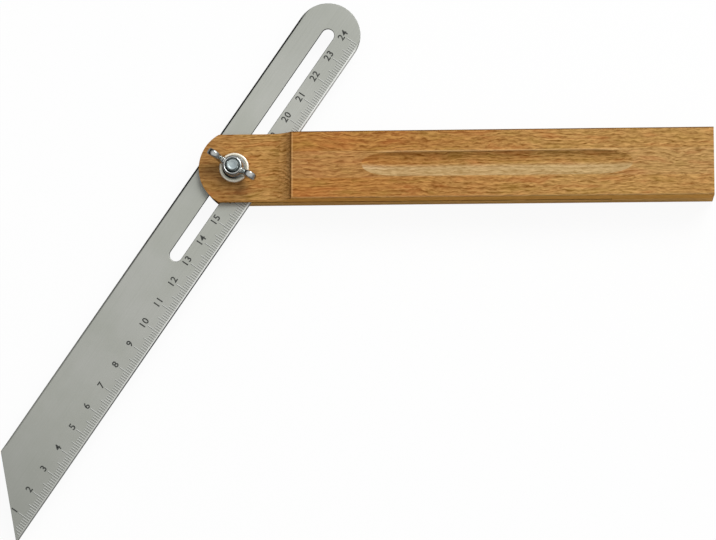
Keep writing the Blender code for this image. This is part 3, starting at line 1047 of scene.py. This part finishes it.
def end_grain_tones(tree, tone, place_on_wood, facing):
    """Open pores on the faces that are cut across the grain."""
    cut_across = fade(tree, calculate(tree, "ABSOLUTE", facing["X"]), 0.93, 0.99)
    pores = fade(tree, streaks(tree, place_on_wood, 0.25, 0.16, 3.0), 0.4, 0.62)
    end_tone = blend(tree, pores, END_GRAIN_WOOD, END_GRAIN_PORES)
    return blend(tree, times(tree, cut_across, 0.7), tone, end_tone)


def beech_material():
    """Beech under satin varnish."""
    material, tree, shader = new_material("varnished_beech")
    place_on_wood = millimetres(tree)
    spot = axes_of(tree, place_on_wood)
    facing = axes_of(tree, surface_direction(tree))
    on_grain = swayed(tree, scaled(tree, place_on_wood, 1.0, 1.0, 0.35), (0.03, 0.1, 0.1), 5.0)
    on_grain = swayed(tree, on_grain, (0.25, 0.4, 0.4), 1.1)
    grain = beech_grain(tree, on_grain)
    tone = beech_tones(tree, on_grain, grain, spot["X"])
    tone = cove_and_side_tones(tree, tone, grain, spot, facing)
    tone = worn_tones(tree, tone, grain, spot, facing)
    tone = varnish_tones(tree, tone, spot, facing)
    tone = end_grain_tones(tree, tone, place_on_wood, facing)
    smears = clouds(tree, place_on_wood, 22.0)
    set_inputs(
        tree,
        shader,
        Base_Color=tone,
        Roughness=fade(tree, smears, 0.25, 0.75, 0.5, 0.62),
        Specular_IOR_Level=0.0,
        Coat_Weight=fade(tree, facing["Z"], 0.1, 0.6, 0.02, 0.2),
        Coat_Roughness=0.34,
        Normal=bump(tree, grain, 0.00003),
    )
    return material


# Steel and zinc


def strip_steel_tones(tree, place_on_strip, along, rolled):
    """Satin grey in soft clouds and rolling streaks, darker towards both ends as a painted fall-off
    of the sheen.
    """
    cloudy = fade(tree, clouds(tree, place_on_strip, 26.0), 0.3, 0.7)
    tone = blend(tree, cloudy, SATIN_STEEL, PALE_STEEL)
    tone = blend(tree, fade(tree, rolled, 0.4, 0.75, 0.0, 0.2), tone, STREAKED_STEEL)
    # Painted fall-off of the sheen, which is brightest near the stock
    towards_tip = fade(tree, along, -175.0, -110.0, 0.6, 0.0)
    towards_round_end = fade(tree, along, 20.0, 70.0, 0.0, 0.55)
    return blend(tree, calculate(tree, "ADD", towards_tip, towards_round_end), tone, SHEEN_FALLOFF_STEEL)


def blade_edge_masks(tree, spot, steep):
    """Where the edges get painted dark reflection and shade, and where the graduated edge gets a
    painted highlight.
    """
    along = spot["X"]
    plain_side = fade(tree, spot["Y"], 5.0, 7.0)
    scale_side = fade(tree, spot["Y"], -7.0, -5.0, 1.0, 0.0)
    slot_side = calculate(tree, "SUBTRACT", 1.0, calculate(tree, "ADD", plain_side, scale_side))
    straight = fade(tree, along, 64.0, 70.0, 1.0, 0.0)
    plain_edge = times(
        tree,
        fade(tree, steep, 0.05, 0.18),
        plain_side,
        fade(tree, along, -165.0, 0.0, 0.1, 1.0),
        straight,
    )
    scale_edge = times(
        tree,
        scale_side,
        fade(tree, along, -30.0, 15.0, 0.9, 0.2),
        fade(tree, along, -160.0, -60.0, 0.6, 1.0),
        straight,
    )
    other_edges = calculate(tree, "MULTIPLY_ADD", slot_side, 0.7, scale_edge)
    steep_faces = fade(tree, steep, 0.3, 0.42)
    # Painted dark reflection and shade on the upper edge, the graduated edge, the slot and the steep
    # walls
    edge_dark_reflection = calculate(tree, "MULTIPLY_ADD", steep_faces, other_edges, plain_edge)
    # Painted highlight along the graduated edge, stronger towards the stock
    painted_highlight_share = fade(tree, along, -150.0, -50.0, 0.25, 0.7)
    painted_edge_highlight = times(tree, fade(tree, steep, 0.03, 0.12), scale_side, straight, painted_highlight_share)
    return edge_dark_reflection, painted_edge_highlight


def blade_material():
    """Hardened strip steel with a satin finish, with painted dark reflection and shade on its edges
    and a painted highlight along the graduated edge.
    """
    material, tree, shader = new_material("satin_strip_steel")
    place_on_strip = millimetres(tree, BLADE_ANGLE)
    spot = axes_of(tree, place_on_strip)
    lean = axes_of(tree, rotated(tree, surface_direction(tree), -BLADE_ANGLE))
    steep = calculate(tree, "ABSOLUTE", lean["Y"])
    rolled = streaks(tree, place_on_strip, 26.0, 0.22)
    # Steep edge walls: rough sheared finish, partly painted shade and dark reflection
    sheared_and_shaded = fade(tree, lean["Z"], 0.3, 0.9, 0.6, 0.0)
    edge_dark_reflection, painted_edge_highlight = blade_edge_masks(tree, spot, steep)
    tone = strip_steel_tones(tree, place_on_strip, spot["X"], rolled)
    tone = blend(tree, sheared_and_shaded, tone, SHEARED_STEEL_AND_SHADE)
    tone = blend(tree, painted_edge_highlight, tone, EDGE_HIGHLIGHT_STEEL)
    tone = blend(tree, edge_dark_reflection, tone, EDGE_DARK_REFLECTION)
    mattness = calculate(tree, "MAXIMUM", edge_dark_reflection, sheared_and_shaded)
    satin = fade(tree, rolled, 0.25, 0.75, 0.48, 0.6)
    set_inputs(
        tree,
        shader,
        Base_Color=tone,
        Metallic=fade(tree, mattness, 0.0, 1.0, 0.8, 0.2),
        Roughness=calculate(tree, "MAXIMUM", satin, mattness),
        Specular_IOR_Level=0.2,
        Normal=bump(tree, rolled, 0.000004),
    )
    return material


def mark_material():
    """Etched marks, each painted with a lit flank and a shaded flank."""
    material, tree, shader = new_material("etched_marks")
    place_on_strip = millimetres(tree, BLADE_ANGLE)
    uneven = clouds(tree, place_on_strip, 3.0)
    first_mark = (SCALE_ZERO - PIVOT_TO_TIP) / MM
    from_first = calculate(tree, "SUBTRACT", axes_of(tree, place_on_strip)["X"], first_mark)
    steps = calculate(tree, "DIVIDE", from_first, MARK_PITCH / MM)
    past_middle = calculate(tree, "SUBTRACT", steps, calculate(tree, "ROUND", steps))
    painted_lit_flank = blend(tree, uneven, colour(194, 196, 191), colour(222, 223, 219))
    set_inputs(
        tree,
        shader,
        Base_Color=blend(
            tree, fade(tree, past_middle, -0.02, 0.02), colour(84, 86, 82), painted_lit_flank
        ),
        Roughness=fade(tree, uneven, 0.2, 0.8, 0.6, 0.8),
        Normal=bump(tree, uneven, 0.00001),
    )
    return material


def number_material():
    """Blackened etching in the numbers."""
    material, tree, shader = new_material("blackened_etching")
    uneven = clouds(tree, millimetres(tree, BLADE_ANGLE), 0.8)
    set_inputs(
        tree,
        shader,
        Base_Color=blend(tree, uneven, colour(30, 32, 30), colour(62, 64, 60)),
        Roughness=fade(tree, uneven, 0.2, 0.8, 0.55, 0.75),
        Normal=bump(tree, uneven, 0.00001),
    )
    return material


def zinc_material(name, bright, dull, roughness, grain_angle):
    """Zinc plate with a faint cast of its own, dulled in soft clouds."""
    material, tree, shader = new_material(name)
    spot = millimetres(tree, grain_angle)
    crystals = streaks(tree, spot, 0.3, 0.16)
    set_inputs(
        tree,
        shader,
        Base_Color=blend(tree, fade(tree, clouds(tree, spot, 3.5), 0.3, 0.7), dull, bright),
        Metallic=1.0,
        Roughness=fade(tree, crystals, 0.3, 0.7, roughness - 0.06, roughness + 0.08),
        Normal=bump(tree, crystals, 0.000012),
    )
    return material


def washer_material():
    """Zinc plate, darker grey on the flat, with a painted highlight round the rolled rim."""
    material, tree, shader = new_material("zinc_plated_washer")
    spot = millimetres(tree)
    radius = vector_math(tree, "LENGTH", scaled(tree, spot, 1.0, 1.0, 0.0))["Value"]
    # Painted highlight: a cream band round the rolled rim
    rim = fade(tree, radius, 5.1, 5.35)
    uneven = clouds(tree, spot, 3.5)
    face = blend(tree, fade(tree, uneven, 0.3, 0.7), colour(140, 146, 134), colour(176, 174, 160))
    set_inputs(
        tree,
        shader,
        Base_Color=blend(tree, rim, face, colour(243, 235, 216)),
        Metallic=fade(tree, rim, 0.0, 1.0, 0.9, 0.35),
        Roughness=fade(tree, uneven, 0.3, 0.7, 0.2, 0.3),
        Normal=bump(tree, uneven, 0.00001),
    )
    return material


def floor_material():
    """White paper that keeps the tool's soft shadow."""
    material, tree, shader = new_material("white_paper")
    fibre = clouds(tree, millimetres(tree), 1.2)
    set_inputs(
        tree,
        shader,
        Base_Color=blend(tree, fibre, colour(236, 236, 235), colour(240, 240, 240)),
        Roughness=0.9,
    )
    white_when_seen, white_when_mirrored, mirrored_strength = 0.93, 0.9, 0.2
    rays = add(tree, "ShaderNodeLightPath").outputs
    mirrored = calculate(tree, "MAXIMUM", rays["Is Glossy Ray"], rays["Is Transmission Ray"])
    share = calculate(
        tree,
        "MAXIMUM",
        times(tree, rays["Is Camera Ray"], white_when_seen),
        times(tree, mirrored, white_when_mirrored),
    )
    strength = fade(tree, mirrored, 0.0, 1.0, 1.0, mirrored_strength)
    white = add(tree, "ShaderNodeEmission", {"Color": (1, 1, 1, 1), "Strength": strength})
    pairs = {0: share, 1: shader.outputs[0], 2: white.outputs[0]}
    mixed = add(tree, "ShaderNodeMixShader", pairs).outputs[0]
    tree.links.new(mixed, tree.nodes["Material Output"].inputs["Surface"])
    return material


# Dressing the bodies


def finish_piece(obj, material, body, slot, *replaced):
    """Gives a piece its material, attaches it to the body it rides on, and hides the parts that it
    replaces.
    """
    obj.data.materials.clear()
    obj.data.materials.append(material)
    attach(obj, body)
    if replaced:
        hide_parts(*replaced)


def dress_the_tool():
    finish_piece(make_stock(), beech_material(), "stock", "beech", "stock")
    finish_piece(make_blade(), blade_material(), "blade", "blade_steel", "blade")
    finish_piece(make_scale_marks(), mark_material(), "blade", "blade_steel")
    finish_piece(make_scale_numbers(), number_material(), "blade", "blade_steel")
    bolt_zinc = zinc_material(
        "zinc_plated_bolt", colour(192, 202, 200), colour(166, 178, 180), 0.24, 0.0
    )
    finish_piece(make_clamp_bolt(), bolt_zinc, "clamp_bolt", "bolt_zinc", "clamp_bolt")
    finish_piece(make_washer(), washer_material(), "washer", "washer_zinc", "washer")
    nut_zinc = zinc_material(
        "zinc_plated_wing_nut", colour(206, 206, 202), colour(178, 182, 180), 0.14, WING_ANGLE
    )
    finish_piece(make_wing_nut(), nut_zinc, "wing_nut", "nut_zinc", "wing_nut")


# Studio


def make_floor():
    bm = bmesh.new()
    reach = FLOOR_REACH
    corners = ((-reach, -reach), (reach, -reach), (reach, reach), (-reach, reach))
    bm.faces.new([bm.verts.new((x, y, 0)) for x, y in corners])
    floor = new_object("paper_floor", bm)
    floor.data.materials.append(floor_material())


def make_softbox():
    light = bpy.data.lights.new("key_softbox", "AREA")
    light.shape = "SQUARE"
    light.size = SOFTBOX_SIZE
    light.energy = SOFTBOX_POWER
    lamp = bpy.data.objects.new("key_softbox", light)
    bpy.context.scene.collection.objects.link(lamp)
    lamp.location = SOFTBOX_PLACE
    facing = Vector(SOFTBOX_AIM) - Vector(SOFTBOX_PLACE)
    lamp.rotation_euler = facing.to_track_quat("-Z", "Y").to_euler()
    lamp.visible_camera = False


def make_world():
    """A soft studio room: bright towards the softbox, darker on the far side and low down."""
    world = bpy.data.worlds.new("studio_room")
    bpy.context.scene.world = world
    world.use_nodes = True
    tree = world.node_tree
    direction = add(tree, "ShaderNodeTexCoord").outputs["Generated"]
    bright_side = Vector(BRIGHT_SIDE).normalized()
    towards_light = vector_math(tree, "DOT_PRODUCT", direction, bright_side)["Value"]
    axes = axes_of(tree, direction)
    low_down = fade(tree, axes["X"], -0.5, 0.6, 0.03, 0.5)
    high_up = fade(tree, axes["Z"], 0.3, 0.86)
    rise = calculate(tree, "SUBTRACT", 1.0, low_down)
    share = calculate(tree, "MULTIPLY_ADD", rise, high_up, low_down)
    brightness = times(tree, fade(tree, towards_light, -0.4, 1.1, 0.17, 0.98), share)
    fill(tree, tree.nodes["Background"], {"Color": (1, 1, 1, 1), "Strength": brightness})


def make_camera():
    """The photograph's view: from high above, a little to the lower right."""
    camera = bpy.data.cameras.new("photo_camera")
    camera.sensor_fit = "HORIZONTAL"
    camera.sensor_width = 36
    camera.lens = CAMERA_LENS
    camera.clip_end = 20
    view = bpy.data.objects.new("photo_camera", camera)
    bpy.context.scene.collection.objects.link(view)
    axes = (Vector(CAMERA_RIGHT), -Vector(CAMERA_DOWN), -Vector(CAMERA_FORWARD))
    turn = Matrix(axes).transposed().to_4x4()
    view.matrix_world = Matrix.Translation(CAMERA_PLACE) @ turn
    bpy.context.scene.camera = view


dress_the_tool()
make_floor()
make_softbox()
make_world()
make_camera()
bpy.context.scene.view_settings.view_transform = "Standard"
